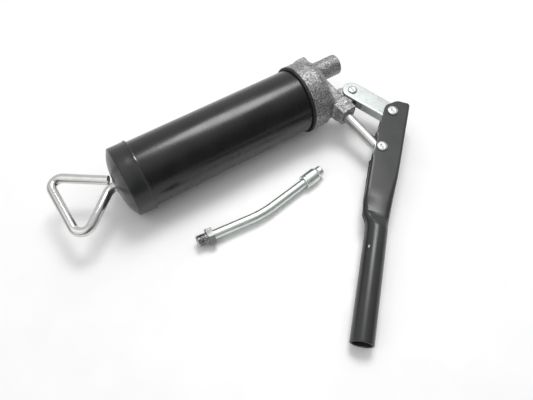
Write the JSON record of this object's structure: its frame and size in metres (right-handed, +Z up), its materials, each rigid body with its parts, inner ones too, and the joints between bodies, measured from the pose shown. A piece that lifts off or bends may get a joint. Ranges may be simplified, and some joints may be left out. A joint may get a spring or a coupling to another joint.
{
  "type": "lever grease gun",
  "caption": "Hand lever grease gun with a round barrel, loop-handled pull rod, cast head with linkage and plunger, and a loose bent pipe with a jawed coupler.",
  "frame": {"origin": "middle of the object's box in X and Y, on the surface that the gun and its loose pipe lie on", "axes": "+X along the barrel from the rear cap to the head, -Y towards the hand lever, +Z up from the surface"},
  "size_m": [0.3038, 0.2434, 0.0616],
  "materials": {
    "black_enamel": "semi-gloss black enamel on drawn steel tube",
    "cap_enamel": "semi-gloss black enamel on pressed steel",
    "cast_iron": "sand-cast grey iron with a fine bright grain",
    "chrome": "bright plated steel rod",
    "zinc": "bright zinc plate, satin",
    "steel": "ground steel",
    "charcoal_enamel": "semi-gloss charcoal enamel on pressed steel",
    "rubber": "black oil-resistant rubber"
  },
  "bodies": {
    "gun": {"barrel_tube": "black_enamel", "rear_cap": "cap_enamel", "rod_bush": "steel", "barrel_gasket": "rubber", "head_casting": "cast_iron", "plunger_seal": "rubber", "check_spring": "steel", "valve_retainer": "steel", "follower_spring": "steel"},
    "follower": {"follower_cup": "rubber", "follower_plate_rear": "zinc", "follower_plate_front": "zinc"},
    "pull_rod": {"pull_rod": "chrome", "rod_nut": "zinc"},
    "plunger": {"plunger_rod": "steel"},
    "link": {"link_yoke": "zinc", "head_pin": "zinc"},
    "lever": {"lever_handle": "charcoal_enamel", "plunger_pin": "zinc", "link_pin": "zinc"},
    "check_ball": {"check_ball": "steel"},
    "pipe": {"extension_pipe": "zinc", "pipe_nut": "zinc", "coupler_sleeve": "zinc", "coupler_seal": "rubber", "coupler_piston": "steel", "coupler_jaw_1": "steel", "coupler_jaw_2": "steel", "coupler_jaw_3": "steel"}
  },
  "joints": [
    {"name": "lever_squeeze", "type": "hinge", "parent": "plunger", "child": "lever", "pos_m": [0.10324, 0.00625, 0.02204], "axis": [0, 0.1077, -0.9942], "range_deg": [-6, 34]},
    {"name": "plunger_stroke", "type": "slide", "parent": "gun", "child": "plunger", "axis": [-0.0767, 0.9913, 0.1073], "range_m": [-0.0046, 0.0255]},
    {"name": "link_swing", "type": "hinge", "parent": "gun", "child": "link", "pos_m": [0.11918, 0.0686, 0.02879], "axis": [0, 0.1077, -0.9942], "range_deg": [-12.2, 2.3]},
    {"name": "follower_slide", "type": "slide", "parent": "gun", "child": "follower", "axis": [-1, 0, 0], "range_m": [0, 0.12], "stiffness_N_per_m": 350, "springref_m": -0.06, "deforming": ["follower_spring"]},
    {"name": "rod_turn", "type": "hinge", "parent": "follower", "child": "pull_rod", "pos_m": [-0.09642, 0.08714, 0.0308], "axis": [1, 0, 0], "continuous": true},
    {"name": "check_ball_lift", "type": "slide", "parent": "gun", "child": "check_ball", "axis": [1, 0, 0], "range_m": [0, 0.0004], "stiffness_N_per_m": 300, "springref_m": -0.002},
    {"name": "pipe_lift", "type": "slide", "parent": "gun", "child": "pipe", "axis": [0, 0, 1], "range_m": [0, 0.08]}
  ],
  "couplings": [
    {"joint": "plunger_stroke", "follows": "lever_squeeze", "m_per_rad": 0.042685},
    {"joint": "link_swing", "follows": "lever_squeeze", "ratio": -0.355}
  ]
}
